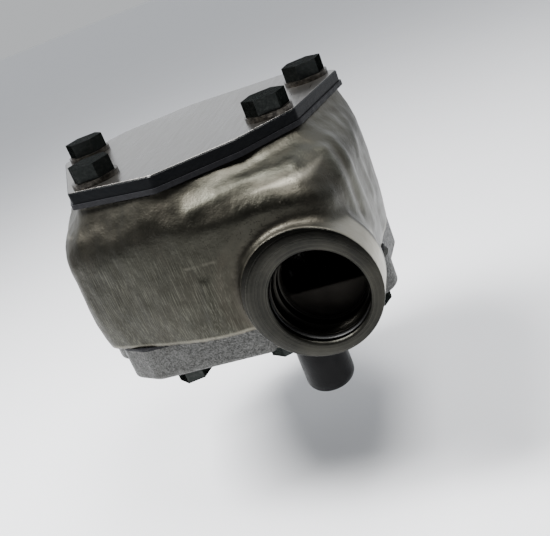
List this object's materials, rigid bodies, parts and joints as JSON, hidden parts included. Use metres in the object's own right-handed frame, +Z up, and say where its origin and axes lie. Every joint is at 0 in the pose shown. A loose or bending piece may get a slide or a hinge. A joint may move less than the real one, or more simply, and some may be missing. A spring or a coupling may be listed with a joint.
{
  "type": "steam trap",
  "caption": "Float and thermostatic steam trap: a cast body with a bolted cover, a side socket inlet and a capped outlet below the base.",
  "frame": {"origin": "centre of the machined face of the inlet socket", "axes": "-Y out of the inlet socket, +Z up through the cover, +X to the right seen from the socket's side"},
  "size_m": [0.1522, 0.1409, 0.1349],
  "materials": {
    "cast_body": "coarsely ground nickel-iron casting with machined faces",
    "cover_steel": "satin ground plate with a dark edge",
    "gasket_sheet": "dark graphite sheet",
    "black_oxide": "black oxide",
    "washer_steel": "dark oiled steel",
    "cast_aluminium": "grainy as-cast aluminium",
    "seal_rubber": "matte black",
    "turned_steel": "turned",
    "cap_plastic": "soft satin black",
    "hard_steel": "ground hardened stainless steel",
    "soft_steel": "plain",
    "pressed_stainless": "pressed sheet",
    "float_stainless": "polished drawn shell"
  },
  "bodies": {
    "trap_body": {"body_casting": "cast_body", "cover_plate": "cover_steel", "cover_gasket": "gasket_sheet", "cover_bolts": "black_oxide", "cover_washers": "washer_steel", "base_flange": "cast_aluminium", "base_gasket": "gasket_sheet", "base_bolts": "black_oxide", "base_washers": "washer_steel", "inlet_seal_ring": "seal_rubber", "outlet_nipple": "turned_steel", "gallery_plug": "turned_steel", "valve_seat": "hard_steel", "seat_washer": "soft_steel", "valve_bracket": "pressed_stainless", "bracket_screws": "soft_steel", "pivot_pin": "turned_steel", "pin_clips": "soft_steel", "vent_tube": "turned_steel", "vent_frame": "pressed_stainless", "vent_seat": "hard_steel", "vent_capsule": "float_stainless", "vent_clip": "soft_steel"},
    "float_gear": {"float_lever": "pressed_stainless", "float_ball": "float_stainless", "float_nut": "soft_steel", "main_valve": "hard_steel", "valve_nut": "soft_steel"},
    "vent_stem": {"vent_valve": "hard_steel"},
    "cap": {"outlet_cap": "cap_plastic"}
  },
  "joints": [
    {"name": "float_swing", "type": "hinge", "parent": "trap_body", "child": "float_gear", "pos_m": [-0.00874, 0.0395, 0.008], "axis": [0.5, 0.866, 0], "range_deg": [0, 11]},
    {"name": "vent_stroke", "type": "slide", "parent": "trap_body", "child": "vent_stem", "axis": [0, 0, -1], "range_m": [0, 0.0012]},
    {"name": "cap_pull", "type": "slide", "parent": "trap_body", "child": "cap", "axis": [0, 0, -1], "range_m": [0, 0.04]}
  ]
}
